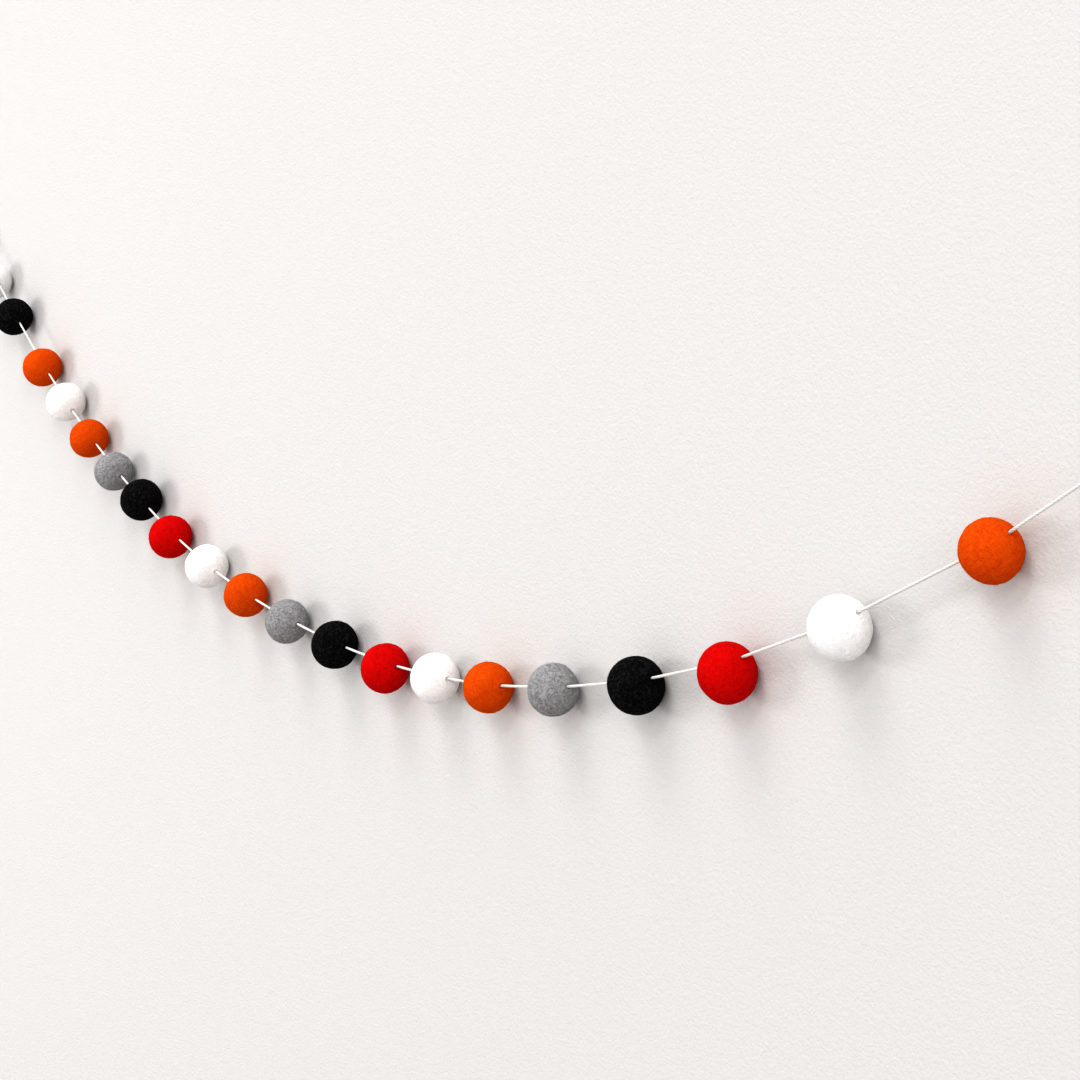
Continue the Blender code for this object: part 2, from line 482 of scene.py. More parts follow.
@dataclass(frozen=True)
class EndKnot:
    """The knot that closes a hanging loop: the string wound round its own legs and pulled tight.

    Attributes:
        end: which end of the string it closes.
        wraps: how often the string winds round the legs.
        wrap_radius: from the knot's axis to the middle of a wrap.
        wrap_step: how far the wraps advance in one turn.
        steps: path points in one turn.
        tuck: how far the first and last half turns are drawn in under the others.
        tuck_turns: the length of that drawing in, in turns.
    """

    end: End
    wraps: float = 3.6
    wrap_radius: float = 2.02 * MM
    wrap_step: float = 1.42 * MM
    steps: int = 24
    tuck: float = 0.9 * MM
    tuck_turns: float = 0.5

    def path(self, route: Route) -> list[Vector]:
        """The winding's middle line, tucked in under itself at both ends."""
        _, inward = route.end_frame(self.end)
        side = across(inward)
        middle = route.knot_middle(self.end)
        points = []
        count = round(self.wraps * self.steps)
        for step in range(count + 1):
            share = step / count
            turn = 2 * math.pi * self.wraps * share
            edge = min(share, 1 - share) * self.wraps
            radius = self.wrap_radius - self.tuck * max(0.0, 1 - edge / self.tuck_turns) ** 2
            out = side * math.cos(turn) + Vector((0.0, 1.0, 0.0)) * math.sin(turn)
            along = (share - 0.5) * self.wraps * self.wrap_step
            points.append(middle + inward * along + out * radius)
        return points

    def build(self, route: Route, strand: PliedStrand) -> Piece:
        """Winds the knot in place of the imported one."""
        made, _ = strand.build(f"knot_{self.end.value}_winding", self.path(route))
        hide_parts(f"knot_{self.end.value}")
        return made


@dataclass(frozen=True)
class FeltFinish:
    """The look of one colour of wet-felted wool.

    Attributes:
        wool: the colour's slot.
        body: the felt's own colour.
        wisp_highlight: the lighter colour of the fibres that lie on top, their own tone together with
            painted highlight where they catch the light.
        patch_and_hollow_shade: the darker colour of the wool's patches, and painted shade in the small
            hollows between the fibres.
        wisp_highlight_share: how strongly the wisps and their painted highlight show, from 0 to 1.
        hollow_shade_share: how strongly the painted shade in the hollows shows, from 0 to 1.
        patch_share: how much darker the wool lies in patches, from 0 to 1.
        sheen: how much the fibre ends catch light at the rim.
        loose: the colour of the loose fibres that stand off the ball.
    """

    wool: Wool
    body: Colour
    wisp_highlight: Colour
    patch_and_hollow_shade: Colour
    wisp_highlight_share: float
    hollow_shade_share: float
    patch_share: float
    sheen: float
    loose: Colour

    ROUGHNESS = (0.88, 1.0)
    LOOSE_ROUGHNESS = 0.9
    SHEEN_ROUGHNESS = 0.45
    BUMP_STRENGTH = 0.55
    BUMP_DISTANCE = 0.3 * MM
    SPECULAR = 0.1

    def material(self) -> Material:
        """Builds the felt's material around the shared fibre group."""
        made, tree, shader = new_material(self.wool.value)
        place = add_node(tree, "ShaderNodeTexCoord").outputs["Object"]
        felt = add_node(tree, "ShaderNodeGroup", {"Vector": place}, node_tree=MattedWool().group()).outputs
        colour = self.body
        # The darker patches are random tone; the hollows between the fibres get painted shade, and the
        # wisps on top their own lighter tone together with painted highlight.
        for effect, share, other in (
            ("Patches", self.patch_share, self.patch_and_hollow_shade),
            ("Gaps", self.hollow_shade_share, self.patch_and_hollow_shade),
            ("Wisps", self.wisp_highlight_share, self.wisp_highlight),
        ):
            colour = mix_colour(tree, scaled(tree, felt[effect], share), colour, other)
        smoothest, roughest = self.ROUGHNESS
        spread = {"Value": felt["Gaps"], "To Min": smoothest, "To Max": roughest}
        rough = add_node(tree, "ShaderNodeMapRange", spread).outputs["Result"]
        add_bump(tree, felt["Height"], shader, self.BUMP_STRENGTH, self.BUMP_DISTANCE)
        feed(tree, shader, {
            "Base Color": colour,
            "Roughness": rough,
            "Sheen Weight": self.sheen,
            "Sheen Roughness": self.SHEEN_ROUGHNESS,
            "Sheen Tint": self.wisp_highlight,
            "Specular IOR Level": self.SPECULAR,
        })
        return made

    def loose_material(self) -> Material:
        """Builds the plain material of the loose fibres."""
        made, tree, shader = new_material(f"{self.wool.value}_loose_fibres")
        feed(tree, shader, {
            "Base Color": self.loose,
            "Roughness": self.LOOSE_ROUGHNESS,
            "Specular IOR Level": self.SPECULAR,
        })
        return made


# Each felt's lighter fibre colour is its own tone together with painted highlight, and its darkest colour
# is patch tone together with painted shade in the hollows between the fibres.
FELT_FINISHES = {
    finish.wool: finish
    for finish in (
        FeltFinish(
            Wool.WHITE, body=(0.745, 0.735, 0.727), wisp_highlight=(0.81, 0.805, 0.80), patch_and_hollow_shade=(0.65, 0.635, 0.62),
            wisp_highlight_share=0.4, hollow_shade_share=0.22, patch_share=0.05, sheen=0.12, loose=(0.78, 0.77, 0.76),
        ),
        FeltFinish(
            Wool.BLACK, body=(0.007, 0.007, 0.0075), wisp_highlight=(0.055, 0.055, 0.059), patch_and_hollow_shade=(0.001, 0.001, 0.001),
            wisp_highlight_share=0.5, hollow_shade_share=0.7, patch_share=0.3, sheen=0.03, loose=(0.020, 0.020, 0.022),
        ),
        FeltFinish(
            Wool.ORANGE, body=(0.535, 0.094, 0.0052), wisp_highlight=(0.615, 0.146, 0.011), patch_and_hollow_shade=(0.40, 0.040, 0.003),
            wisp_highlight_share=0.35, hollow_shade_share=0.24, patch_share=0.14, sheen=0.10, loose=(0.60, 0.10, 0.007),
        ),
        FeltFinish(
            Wool.GREY, body=(0.265, 0.262, 0.264), wisp_highlight=(0.47, 0.465, 0.468), patch_and_hollow_shade=(0.100, 0.098, 0.100),
            wisp_highlight_share=0.42, hollow_shade_share=0.45, patch_share=0.1, sheen=0.12, loose=(0.38, 0.375, 0.38),
        ),
        FeltFinish(
            Wool.RED, body=(0.488, 0.0056, 0.005), wisp_highlight=(0.55, 0.012, 0.010), patch_and_hollow_shade=(0.31, 0.002, 0.003),
            wisp_highlight_share=0.35, hollow_shade_share=0.35, patch_share=0.2, sheen=0.08, loose=(0.50, 0.011, 0.009),
        ),
    )
}


@dataclass(frozen=True)
class CottonFinish:
    """The look of the white cotton string, with fibres that run along its plies.

    Attributes:
        body: the cotton's own colour.
        groove: the darker colour of its fibre streaks, and painted shade in the grooves between the plies.
        fibre_contrast: how strongly the fibres show, from 0 to 1.
        roughness: of its surface.
        sheen: how much the fibres catch light at the rim.
        specular: how much it shines.
        bump_strength: how strongly the fibres stand out.
        bump_distance: how far they stand out, in metres.
    """

    body: Colour = (0.68, 0.662, 0.642)
    groove: Colour = (0.50, 0.48, 0.46)
    fibre_contrast: float = 0.3
    roughness: float = 0.82
    sheen: float = 0.15
    specular: float = 0.25
    bump_strength: float = 0.35
    bump_distance: float = 0.1 * MM

    def material(self) -> Material:
        """Builds the string's material around the shared strand group."""
        made, tree, shader = new_material("string")
        unrolled = add_node(tree, "ShaderNodeUVMap", uv_map="strand").outputs["UV"]
        group = SpunStrand().group()
        strand = add_node(tree, "ShaderNodeGroup", {"Unrolled": unrolled}, node_tree=group).outputs
        shade = scaled(tree, strand["Fibre"], self.fibre_contrast)
        toned = mix_colour(tree, shade, self.body, self.groove)
        add_bump(tree, strand["Fibre"], shader, self.bump_strength, self.bump_distance)
        # The grooves between the plies are darkened with painted shade.
        feed(tree, shader, {
            "Base Color": mix_colour(tree, strand["Groove"], toned, self.groove),
            "Roughness": self.roughness,
            "Sheen Weight": self.sheen,
            "Specular IOR Level": self.specular,
        })
        return made


def new_material(name: str) -> tuple[Material, Tree, Node]:
    """Adds an empty node material.

    Args:
        name: the material's name.

    Returns:
        The material, its node tree and its Principled shader.
    """
    made = bpy.data.materials.new(name)
    made.use_nodes = True
    tree = made.node_tree
    return made, tree, tree.nodes["Principled BSDF"]


def feed(tree: Tree, node: Node, feeds: Feeds) -> None:
    """Feeds inputs of a node.

    Args:
        tree: the node's tree.
        node: the node.
        feeds: a socket, a number, a colour or an object for each input, by its name or its place.
    """
    for name, given in feeds.items():
        taken = node.inputs[name]
        if isinstance(given, Socket):
            tree.links.new(given, taken)
        else:
            taken.default_value = (*given, 1.0) if taken.type == "RGBA" else given


def add_node(tree: Tree, kind: str, feeds: Feeds | None = None, **settings: object) -> Node:
    """Adds a node to a tree, sets its own properties and feeds its inputs."""
    node = tree.nodes.new(kind)
    for name, value in settings.items():
        setattr(node, name, value)
    feed(tree, node, feeds or {})
    return node


def new_group(name: str, takes: dict[str, str], gives: dict[str, str]) -> Tree:
    """Adds a shader node group with its sockets.

    Args:
        name: the group's name.
        takes: the name and socket type of each input.
        gives: the name and socket type of each output.

    Returns:
        The group's tree, with its input and output nodes named so.
    """
    group = bpy.data.node_groups.new(name, "ShaderNodeTree")
    for label, kind in takes.items():
        group.interface.new_socket(label, in_out="INPUT", socket_type=kind)
    for label, kind in gives.items():
        group.interface.new_socket(label, in_out="OUTPUT", socket_type=kind)
    group.nodes.new("NodeGroupInput").name = "Input"
    group.nodes.new("NodeGroupOutput").name = "Output"
    return group


def noise_at(
    tree: Tree, place: Socket, scale: float, detail: float = 1.0, roughness: float = 0.5
) -> Outputs:
    """Adds a layered noise texture, read at a place, and gives its outputs."""
    feeds = {"Vector": place, "Scale": scale, "Detail": detail, "Roughness": roughness}
    return add_node(tree, "ShaderNodeTexNoise", feeds, noise_type="FBM").outputs


def mapped(tree: Tree, value: Socket, low: float, high: float) -> Socket:
    """Spreads the values between low and high over 0 to 1, smoothly."""
    feeds = {"Value": value, "From Min": low, "From Max": high}
    return add_node(tree, "ShaderNodeMapRange", feeds, interpolation_type="SMOOTHSTEP").outputs["Result"]


def maths(tree: Tree, operation: str, *values: Socket | float) -> Socket:
    """Adds a Math node, with a socket or a number for each of its inputs."""
    return add_node(tree, "ShaderNodeMath", dict(enumerate(values)), operation=operation).outputs["Value"]


def scaled(tree: Tree, value: Socket, by: float) -> Socket:
    """Multiplies a value by a number."""
    return maths(tree, "MULTIPLY", value, by)


def mix_colour(tree: Tree, share: Socket, first: Socket | Colour, second: Socket | Colour) -> Socket:
    """Mixes two colours, each a socket or three numbers, by a share."""
    return add_node(tree, "ShaderNodeMix", {0: share, 6: first, 7: second}, data_type="RGBA").outputs[2]


def add_bump(tree: Tree, height: Socket, shader: Node, strength: float, distance: float) -> None:
    """Feeds a height through a Bump node to a shader's normal, with the distance in metres."""
    bump = add_node(tree, "ShaderNodeBump", {"Strength": strength, "Distance": distance, "Height": height})
    feed(tree, shader, {"Normal": bump.outputs["Normal"]})


@dataclass(frozen=True)
class Strands:
    """Curly strands side by side, drawn along the lines of equal height of a soft noise.

    Attributes:
        scale: the noise's scale, which settles how tightly the strands curl.
        turns: how many strands lie between the noise's lowest and highest places.
        edge: where a strand's edge lies, from 0 between two strands to 1 along its middle.
    """

    scale: float
    turns: float
    edge: float

    def draw(self, tree: Tree, place: Socket) -> tuple[Socket, Socket]:
        """Draws the strands.

        Args:
            tree: the group that they are drawn in.
            place: where the noise is read.

        Returns:
            Their height, from 0 to 1, and their mask, which is 0 up to their edges.
        """
        hills = noise_at(tree, place, self.scale, roughness=0.45)[0]
        wave = maths(tree, "SINE", scaled(tree, hills, 2 * math.pi * self.turns))
        height = maths(tree, "MULTIPLY_ADD", wave, 0.5, 0.5)
        return height, mapped(tree, height, self.edge, 1.0)


@dataclass(frozen=True)
class MattedWool:
    """The shared masks of matted wool: curly wisps on top, where the felt gets painted highlight, hollows
    between them, where it gets painted shade, and darker patches.

    Attributes:
        warp_scale: the scale of the noise that bends the fibres.
        warp_reach: how far it moves them, in metres.
        thick: the thick strands.
        thin: the thin ones.
        hair: the hair-fine ones.
        strand_share: how much the thick and thin strands count among the wisps.
        hair_share: how much the hair-fine ones do.
        breaks_scale: the scale of the noise that breaks the strands up.
        breaks_range: its values between which a strand comes out.
        gap_range: the height of the strands between which a hollow closes.
        patch_scale: the scale of the darker patches.
        patch_range: their noise's values between which a patch comes out.
    """

    warp_scale: float = 330.0
    warp_reach: float = 1.4 * MM
    thick: Strands = Strands(300.0, 4.0, 0.55)
    thin: Strands = Strands(520.0, 5.0, 0.6)
    hair: Strands = Strands(620.0, 13.0, 0.35)
    strand_share: float = 0.7
    hair_share: float = 0.4
    breaks_scale: float = 640.0
    breaks_range: tuple[float, float] = (0.34, 0.62)
    gap_range: tuple[float, float] = (0.32, 0.72)
    patch_scale: float = 170.0
    patch_range: tuple[float, float] = (0.4, 0.7)

    NAME = "matted wool"

    def group(self) -> Tree:
        """The effect's node group, made when it is first asked for."""
        found = bpy.data.node_groups.get(self.NAME)
        if found:
            return found
        gives = {label: "NodeSocketFloat" for label in ("Wisps", "Gaps", "Patches", "Height")}
        group = new_group(self.NAME, {"Vector": "NodeSocketVector"}, gives)
        place = group.nodes["Input"].outputs["Vector"]
        curled = self.curl(group, place)
        thick, thick_mask = self.thick.draw(group, curled)
        thin, thin_mask = self.thin.draw(group, curled)
        _, hair_mask = self.hair.draw(group, curled)
        breaks = noise_at(group, curled, self.breaks_scale)[0]
        upper = maths(group, "MAXIMUM", thick_mask, thin_mask)
        broken = maths(group, "MULTIPLY", upper, mapped(group, breaks, *self.breaks_range))
        hairs = scaled(group, hair_mask, self.hair_share)
        wisps = maths(group, "ADD", scaled(group, broken, self.strand_share), hairs)
        deep = maths(group, "ADD", scaled(group, thick, 0.5), scaled(group, thin, 0.5))
        closed = maths(group, "ADD", deep, scaled(group, breaks, 0.5))
        gaps = maths(group, "SUBTRACT", 1.0, mapped(group, closed, *self.gap_range))
        patches = mapped(group, noise_at(group, place, self.patch_scale)[0], *self.patch_range)
        raised = maths(group, "ADD", scaled(group, wisps, 0.5), 0.5)
        height = maths(group, "SUBTRACT", raised, scaled(group, gaps, 0.5))
        feed(group, group.nodes["Output"], dict(zip(gives, (wisps, gaps, patches, height))))
        return group

    def curl(self, group: Tree, place: Socket) -> Socket:
        """Moves each place a little by chance, so that the fibres bend."""
        warp = noise_at(group, place, self.warp_scale)["Color"]
        halves = {0: warp, 1: (0.5, 0.5, 0.5)}
        centred = add_node(group, "ShaderNodeVectorMath", halves, operation="SUBTRACT").outputs["Vector"]
        move = {0: centred, 1: (self.warp_reach,) * 3, 2: place}
        return add_node(group, "ShaderNodeVectorMath", move, operation="MULTIPLY_ADD").outputs["Vector"]


@dataclass(frozen=True)
class SpunStrand:
    """The shared effect of spun cotton: fine fibres along the string, and painted shade in the grooves
    between its plies.

    Attributes:
        stretch: the fibres' scale along the string in metres, and across it in turns.
        fibre_range: the noise's values between which a fibre comes out.
        groove_shade_edge: where the painted shade between the plies begins, from -1 on a ply's crown to 1
            deepest between the plies.
    """

    stretch: Place = (700.0, 40.0, 1.0)
    fibre_range: tuple[float, float] = (0.35, 0.7)
    groove_shade_edge: float = 0.55

    def group(self) -> Tree:
        """The effect's node group."""
        gives = {"Fibre": "NodeSocketFloat", "Groove": "NodeSocketFloat"}
        group = new_group("spun strand", {"Unrolled": "NodeSocketVector"}, gives)
        unrolled = group.nodes["Input"].outputs["Unrolled"]
        stretch = {"Vector": unrolled, "Scale": self.stretch}
        stretched = add_node(group, "ShaderNodeMapping", stretch).outputs["Vector"]
        fibres = noise_at(group, stretched, 1.0, detail=3.0, roughness=0.6)[0]
        turn = add_node(group, "ShaderNodeSeparateXYZ", {"Vector": unrolled}).outputs["Y"]
        valley = maths(group, "COSINE", scaled(group, turn, 2 * math.pi * PliedStrand.PLIES))
        # The second output marks where the grooves between the plies get painted shade.
        feed(group, group.nodes["Output"], {
            "Fibre": mapped(group, fibres, *self.fibre_range),
            "Groove": mapped(group, valley, self.groove_shade_edge, 1.0),
        })
        return group


@dataclass
class LooseFibres:
    """The wool fibres that have worked loose and lie on a ball or stand a little off it.

    Attributes:
        count: about how many a ball of the usual radius has.
        length: of one fibre.
        thickness: of one fibre at its root.
        curl: how far a fibre bends sideways along its length.
        tilts: the least and greatest angle between a fibre and the felt's normal, in radians.
        sizes: the least and greatest scale of a fibre.
    """

    count: int = 1100
    length: float = 1.7 * MM
    thickness: float = 0.055 * MM
    curl: float = 0.35 * MM
    tilts: tuple[float, float] = (1.12, 1.60)
    sizes: tuple[float, float] = (0.5, 1.5)

    PIECES = 3
    ROLL = 0.9
    BALL_RADIUS = 12.3 * MM

    def __post_init__(self) -> None:
        """Makes the one fibre and the tree that scatters it."""
        self.source = self.fibre()
        self.tree = self.scatter_tree()

    def fibre(self) -> Piece:
        """One fibre, a thin cone that is cut across twice and bent."""
        deselect_all()
        bpy.ops.mesh.primitive_cone_add(
            vertices=3,
            radius1=self.thickness / 2,
            radius2=self.thickness / 8,
            depth=self.length,
            location=(0.0, 0.0, self.length / 2),
        )
        made = bpy.context.object
        made.name = made.data.name = "loose fibre"
        with editing(made):
            for cut in range(1, self.PIECES):
                bpy.ops.mesh.select_all(action="SELECT")
                height = self.length * cut / self.PIECES
                bpy.ops.mesh.bisect(plane_co=(0.0, 0.0, height), plane_no=(0.0, 0.0, 1.0))
        settle()
        for vertex in made.data.vertices:
            share = vertex.co.z / self.length
            vertex.co.x += self.curl * share**2
        made.data.shade_smooth()
        return made

    def scatter_tree(self) -> Tree:
        """The node tree that roots fibres all over a ball, each turned and sized by chance from a seed."""
        tree = bpy.data.node_groups.new("scatter loose fibres", "GeometryNodeTree")
        tree.interface.new_socket("Geometry", in_out="INPUT", socket_type="NodeSocketGeometry")
        tree.interface.new_socket("Seed", in_out="INPUT", socket_type="NodeSocketInt")
        tree.interface.new_socket("Geometry", in_out="OUTPUT", socket_type="NodeSocketGeometry")
        ball = add_node(tree, "NodeGroupInput").outputs
        seed = {"Seed": ball["Seed"]}
        density = self.count / (4 * math.pi * self.BALL_RADIUS**2)
        felt = {"Mesh": ball["Geometry"], "Density": density}
        roots = add_node(tree, "GeometryNodeDistributePointsOnFaces", felt | seed).outputs
        turns = {0: (-self.ROLL, self.tilts[0], 0.0), 1: (self.ROLL, self.tilts[1], 2 * math.pi)}
        turn = add_node(tree, "FunctionNodeRandomValue", turns | seed, data_type="FLOAT_VECTOR").outputs[0]
        lean = add_node(tree, "FunctionNodeEulerToRotation", {0: turn}).outputs[0]
        aims = {0: roots["Rotation"], 1: lean}
        aim = add_node(tree, "FunctionNodeRotateRotation", aims, rotation_space="LOCAL").outputs[0]
        sizes = {2: self.sizes[0], 3: self.sizes[1]}
        size = add_node(tree, "FunctionNodeRandomValue", sizes | seed, data_type="FLOAT").outputs[1]
        fibre = add_node(tree, "GeometryNodeObjectInfo", {"Object": self.source}).outputs["Geometry"]
        laid = {"Points": roots["Points"], "Instance": fibre, "Rotation": aim, "Scale": size}
        copies = add_node(tree, "GeometryNodeInstanceOnPoints", laid).outputs["Instances"]
        real = add_node(tree, "GeometryNodeRealizeInstances", {"Geometry": copies}).outputs["Geometry"]
        add_node(tree, "NodeGroupOutput", {"Geometry": real})
        return tree

    def grow(self, ball: Piece, seed: int) -> Piece:
        """Grows the loose fibres on a copy of a finished ball.

        Args:
            ball: the ball.
            seed: the number that settles where its fibres stand.

        Returns:
            The fibres as a piece of their own.
        """
        deselect_all()
        ball.select_set(True)
        bpy.context.view_layer.objects.active = ball
        bpy.ops.object.duplicate()
        made = bpy.context.object
        made.name = made.data.name = f"loose_fibres_{seed:02d}"
        scatter = made.modifiers.new("loose fibres", "NODES")
        scatter.node_group = self.tree
        scatter[self.tree.interface.items_tree["Seed"].identifier] = seed
        apply_modifiers(made)
        made.data.materials.clear()
        return made

    def put_away(self) -> None:
        """Removes the one fibre that the others were copied from."""
        bpy.data.objects.remove(self.source, do_unlink=True)


@dataclass(frozen=True)
class FeltBall:
    """One wet-felted wool ball, a little uneven, pierced by the string and fuzzy with loose fibres.

    Attributes:
        index: its place on the string, from the left.
        threading: how it sits there.
        bend: the string's point in the middle of its needle hole.
        direction: the direction of its needle hole.
    """

    index: int
    threading: Threading
    bend: Vector
    direction: Vector

    SQUEEZE = 0.92
    UNEVEN = 0.022
    UNEVEN_PITCH = 1.3
    UNEVEN_STEP = Vector((11.7, 5.3, 0.0))
    FINENESS = 6
    FINE_REACH = 2.6 * MM
    FINE_CUTS = 2
    MOUTH_DEPTH = 0.85 * MM
    MOUTH_SHARE = 0.85
    MOUTH_CHANCE = 0.5
    MOUTH_RADII = (0.85 * MM, 1.5 * MM)
    RIM_HEIGHT = 0.10 * MM
    RIM_RADII = (1.3 * MM, 2.5 * MM)
    RELIEF = 0.22 * MM
    RELIEF_PITCH = 2.2 * MM
    MAP_HEIGHT = 0.48

    @property
    def node(self) -> str:
        """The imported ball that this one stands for."""
        return f"ball_{self.index + 1:02d}_{self.threading.wool.name.lower()}"

    @property
    def radius(self) -> float:
        """Half its width across the needle hole."""
        return self.threading.diameter * MM / 2

    @property
    def centre(self) -> Vector:
        """Its middle, which hangs a little below the string."""
        return self.bend - across(self.direction) * self.threading.drop * MM

    def build(self) -> Piece:
        """Felts the ball from a fine sphere that is squeezed, felted uneven, dimpled and dented."""
        turn = -math.atan2(self.direction.z, self.direction.x)
        deselect_all()
        bpy.ops.mesh.primitive_ico_sphere_add(
            subdivisions=self.FINENESS,
            radius=self.radius,
            location=self.centre,
            rotation=(0.0, turn, 0.0),
        )
        body = bpy.context.object
        body.name = body.data.name = f"felt_{self.node}"
        with editing(body):
            bpy.ops.transform.resize(
                value=(self.SQUEEZE, 1.0, 1.0), orient_type="LOCAL", center_override=self.centre
            )
        for vertex in body.data.vertices:
            vertex.co *= self.unevenness(vertex.co)
        for side in (-1.0, 1.0):
            self.open_hole(body, side)
        self.dent(body)
        settle()
        body.data.shade_smooth()
        self.lay_out(body.data)
        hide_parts(self.node)
        return body

    def unevenness(self, place: Vector) -> float:
        """How far the hand-felted surface stands in or out at a place, as a share of the radius."""
        even = Vector((place.x / self.SQUEEZE, place.y, place.z)).normalized()
        return 1 + self.UNEVEN * noise.noise(even * self.UNEVEN_PITCH + self.UNEVEN_STEP * self.index)

    def open_hole(self, body: Piece, side: float) -> None:
        """Draws the felt in at one end of the needle hole and puckers it up around.

        Args:
            body: the ball, still unturned about its own middle.
            side: minus one for the end where the string comes in, one for the end where it leaves.
        """
        drop = self.threading.drop * MM
        mouth = Vector((side * self.SQUEEZE * math.sqrt(self.radius**2 - drop**2), 0.0, drop))
        with editing(body, mouth, self.FINE_REACH):
            bpy.ops.mesh.subdivide(number_cuts=self.FINE_CUTS)
        inner, outer = self.MOUTH_RADII
        start, end = self.RIM_RADII
        share = self.MOUTH_SHARE + self.MOUTH_CHANCE * noise.noise(Vector((self.index * 1.7, side, 0.4)))
        for vertex in body.data.vertices:
            if vertex.co.x * side < 0 or (vertex.co - mouth).length > self.FINE_REACH:
                continue
            away = math.hypot(vertex.co.y, vertex.co.z - drop)
            sunk = min(1.0, max(0.0, (outer - away) / (outer - inner)))
            lift = max(0.0, math.sin(math.pi * (away - start) / (end - start))) if away > start else 0.0
            inward = self.MOUTH_DEPTH * share * sunk**2 * (3 - 2 * sunk) - self.RIM_HEIGHT * lift
            vertex.co.x -= side * inward

    def dent(self, body: Piece) -> None:
        """Gives the felt its small dents and lumps."""
        texture = bpy.data.textures.new(f"felt dents {self.index + 1}", "CLOUDS")
        texture.noise_scale = self.RELIEF_PITCH
        texture.noise_depth = 2
        dents = body.modifiers.new("felt dents", "DISPLACE")
        dents.texture = texture
        dents.texture_coords = "GLOBAL"
        dents.strength = self.RELIEF
        dents.mid_level = 0.5
        apply_modifiers(body)

    def lay_out(self, mesh: Mesh) -> None:
        """Spreads the sphere's own map of twenty triangles over the whole bake map."""
        layer = mesh.uv_layers[0]
        layer.name = BAKE_MAP
        corners = np.zeros(len(mesh.loops) * 2, dtype=np.float32)
        layer.data.foreach_get("uv", corners)
        corners[1::2] /= self.MAP_HEIGHT
        layer.data.foreach_set("uv", corners)


@dataclass(frozen=True)
class Viewpoint:
    """The camera: where it stands from the string's middle in the seventeenth ball, and how it looks.

    Attributes:
        from_ball: its place from that point, in metres.
        turn: how far it is turned left from looking straight at the backdrop, in degrees.
        lens: its focal length, in millimetres.
        sensor: its sensor's width, in millimetres.
    """

    from_ball: Place = (0.7563, -0.6091, 0.0609)
    turn: float = 53.59
    lens: float = 75.0
    sensor: float = 36.0

    BALL = 16

    def place(self, route: Route) -> None:
        """Adds the camera and makes it the scene's own."""
        camera = add_object("viewpoint", bpy.data.cameras.new("viewpoint"))
        camera.location = route.bends()[self.BALL] + Vector(self.from_ball)
        camera.rotation_euler = (math.radians(90.0), 0.0, math.radians(self.turn))
        camera.data.lens = self.lens
        camera.data.sensor_width = self.sensor
        bpy.context.scene.camera = camera


@dataclass(frozen=True)
class SoftLight:
    """A large round soft lamp that shines on the middle of the garland.

    Attributes:
        name: what it is.
        towards: the direction from the garland to the lamp.
        away: how far off it stands, in metres.
        size: its width, in metres.
        power: in watts.
    """

    name: str
    towards: Place
    away: float
    size: float
    power: float

    def hang(self, target: Vector) -> None:
        """Adds the lamp, aimed at a point."""
        lamp = bpy.data.lights.new(self.name, "AREA")
        lamp.shape = "DISK"
        lamp.size = self.size
        lamp.energy = self.power
        made = add_object(self.name, lamp)
        direction = Vector(self.towards).normalized()
        made.location = target + direction * self.away
        made.rotation_euler = direction.to_track_quat("Z", "Y").to_euler()


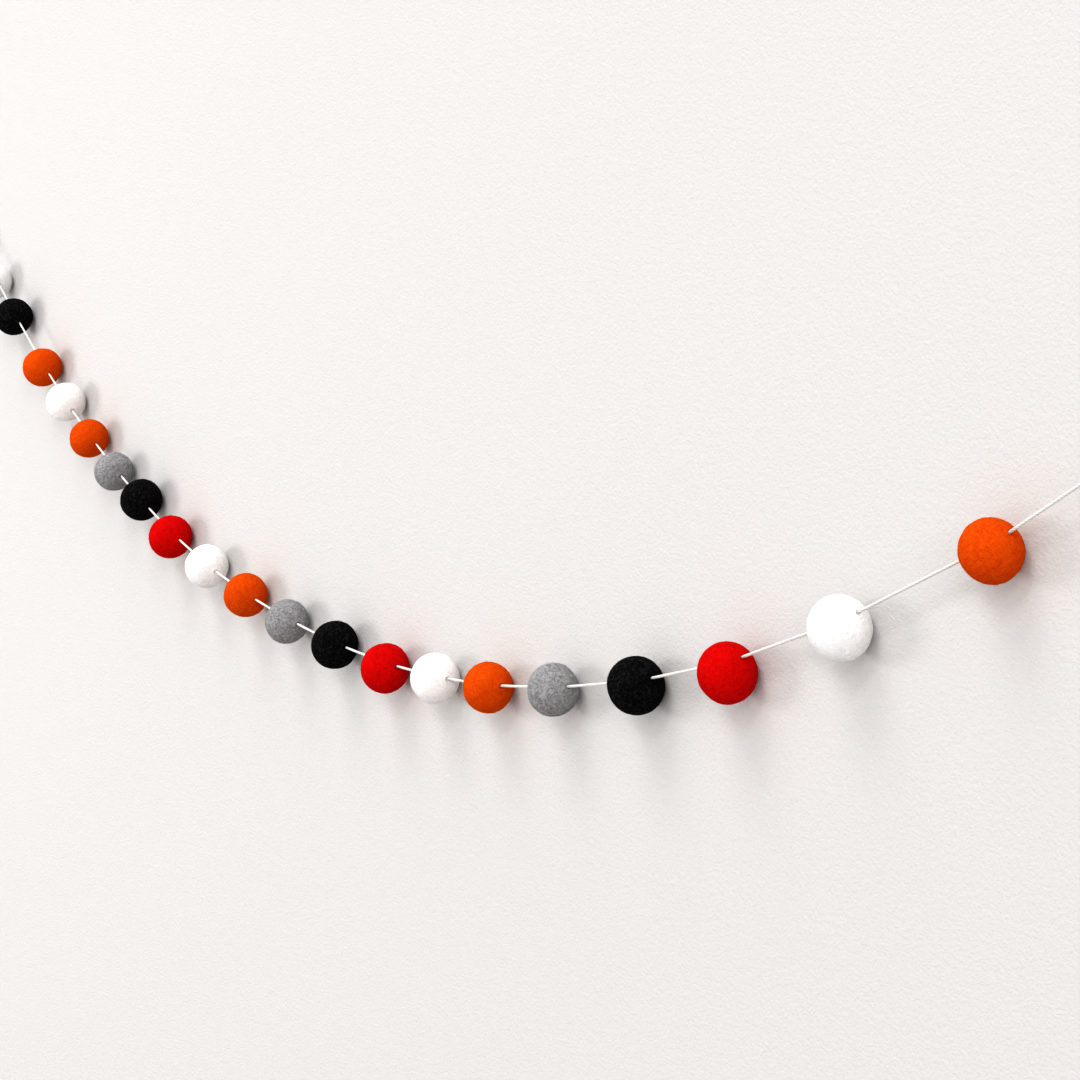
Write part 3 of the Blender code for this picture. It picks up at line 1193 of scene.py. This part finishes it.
@dataclass(frozen=True)
class Studio:
    """The plain pale stage, its soft lamps and the light all round.

    Attributes:
        backdrop_gap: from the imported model's back to the backdrop.
        left: the stage's left edge.
        right: its right edge.
        top: the backdrop's upper edge.
        floor_height: where the floor lies.
        floor_depth: how far the floor reaches to each side of the backdrop.
        stage_colour: of the backdrop and the floor.
        roughness: of their surface.
        specular: how much it shines.
        grain_scale: how fine its grain is.
        grain_strength: how strongly the grain stands out.
        grain_distance: how far it stands out, in metres.
        ambient: the colour of the light all round.
        ambient_strength: how bright that light is.
        look: the contrast of the picture.
    """

    backdrop_gap: float = 0.2 * MM
    left: float = -2.2
    right: float = 4.2
    top: float = 1.7
    floor_height: float = -0.95
    floor_depth: float = 3.2
    stage_colour: Colour = (0.520, 0.507, 0.500)
    roughness: float = 0.9
    specular: float = 0.2
    grain_scale: float = 780.0
    grain_strength: float = 0.6
    grain_distance: float = 0.5 * MM
    ambient: Colour = (1.0, 1.0, 1.0)
    ambient_strength: float = 0.54
    look: str = "Very High Contrast"

    LAMPS = (
        SoftLight("key lamp", (0.5, -1.0, 0.7), away=5.1, size=1.5, power=36.0),
        SoftLight("right lamp", (1.0, -1.0, 0.45), away=6.0, size=1.9, power=50.0),
        SoftLight("far right lamp", (2.2, -1.0, 0.35), away=5.0, size=1.8, power=24.0),
        SoftLight("left lamp", (-0.8, -1.0, 0.0), away=2.0, size=0.7, power=8.2),
        SoftLight("front lamp", (0.2, -1.0, 1.6), away=8.0, size=3.4, power=76.0),
        SoftLight("top lamp", (-0.35, -1.0, 3.0), away=8.0, size=4.6, power=140.0),
    )

    def build(self) -> None:
        """Sets up the stage and the light."""
        finish = self.stage_material()
        backdrop_place = cad_bounds[1].y + self.backdrop_gap
        width = self.right - self.left
        middle = (self.left + self.right) / 2
        height = self.top - self.floor_height
        for name, raised, across_size, tilt in (
            ("backdrop", height / 2, height, 90.0),
            ("floor", 0.0, 2 * self.floor_depth, 0.0),
        ):
            place = (middle, backdrop_place, self.floor_height + raised)
            part = self.sheet(name, place, width, across_size, tilt)
            part.data.materials.append(finish)
        target = (cad_bounds[0] + cad_bounds[1]) / 2
        for lamp in self.LAMPS:
            lamp.hang(target)
        world = bpy.data.worlds.new("studio")
        bpy.context.scene.world = world
        world.use_nodes = True
        glow = {"Color": self.ambient, "Strength": self.ambient_strength}
        feed(world.node_tree, world.node_tree.nodes["Background"], glow)
        bpy.context.scene.view_settings.view_transform = "Standard"
        bpy.context.scene.view_settings.look = self.look

    def sheet(self, name: str, middle: Place, width: float, height: float, tilt: float) -> Piece:
        """Adds a flat sheet of the stage.

        Args:
            name: what it is.
            middle: its place.
            width: along X.
            height: the other way.
            tilt: how far it is tilted up from lying flat, in degrees.

        Returns:
            The sheet, with its place in its mesh.
        """
        deselect_all()
        bpy.ops.mesh.primitive_plane_add(
            size=1.0, location=middle, rotation=(math.radians(tilt), 0.0, 0.0)
        )
        made = bpy.context.object
        made.name = made.data.name = name
        made.scale = (width, height, 1.0)
        settle()
        return made

    def stage_material(self) -> Material:
        """A pale matt finish with a faint grain, which can be looked through from its back."""
        made, tree, shader = new_material("stage")
        place = add_node(tree, "ShaderNodeTexCoord").outputs["Object"]
        grain = noise_at(tree, place, self.grain_scale, detail=2.0, roughness=0.6)[0]
        add_bump(tree, grain, shader, self.grain_strength, self.grain_distance)
        feed(tree, shader, {
            "Base Color": self.stage_colour,
            "Roughness": self.roughness,
            "Specular IOR Level": self.specular,
        })
        clear = add_node(tree, "ShaderNodeBsdfTransparent").outputs["BSDF"]
        behind = add_node(tree, "ShaderNodeNewGeometry").outputs["Backfacing"]
        either = add_node(tree, "ShaderNodeMixShader", {0: behind, 1: shader.outputs["BSDF"], 2: clear})
        feed(tree, tree.nodes["Material Output"], {"Surface": either.outputs["Shader"]})
        return made


def finish_piece(piece: Piece, finish: Material) -> None:
    """Gives a piece its material and hangs it on the root body, where it stays at rest."""
    piece.data.materials.append(finish)
    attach(piece, "root")
    log.info("%s: %d faces", piece.name, len(piece.data.polygons))


class Garland:
    """The whole garland: the string with its two knots and its twenty balls.

    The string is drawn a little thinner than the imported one, which comes nearer to the photograph.
    """

    CORD_NODES = ("string", "loop_left", "loop_right", "tail_left", "tail_right")
    STRING_LENGTH = 1.22
    DRAWN_SHARE = 0.9

    def __init__(self) -> None:
        """Settles the string's route and spins its strand."""
        self.route = Route()
        self.strand = PliedStrand(diameter=self.route.diameter * self.DRAWN_SHARE)

    def thread(self) -> None:
        """Makes the string and its knots, gives them their material, and hides the imported cord and
        knots.
        """
        cotton = CottonFinish().material()
        string, centres = self.strand.build("garland_string", self.route.whole())
        knots = [EndKnot(end).build(self.route, self.strand) for end in End]
        for piece in (string, *knots):
            finish_piece(piece, cotton)
        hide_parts(*self.CORD_NODES)
        self.route.knot_middle(End.LEFT)

    def string_balls(self) -> None:
        """Felts each ball in its place on the string and raises its loose fibres."""
        felts = {wool: finish.material() for wool, finish in FELT_FINISHES.items()}
        loose = {wool: finish.loose_material() for wool, finish in FELT_FINISHES.items()}
        fibres = LooseFibres()
        for index, (threading, bend) in enumerate(zip(THREADING, self.route.bends())):
            ball = FeltBall(index, threading, bend, self.route.hole_direction(index)).build()
            fuzz = fibres.grow(ball, index + 1)
            finish_piece(ball, felts[threading.wool])
            finish_piece(fuzz, loose[threading.wool])
        fibres.put_away()


def main() -> None:
    """Builds the camera, the string, the balls and the stage."""
    logging.basicConfig(level=logging.INFO, format="%(name)s: %(message)s")
    garland = Garland()
    Viewpoint().place(garland.route)
    garland.thread()
    garland.string_balls()
    Studio().build()


if __name__ == "__main__":
    main()
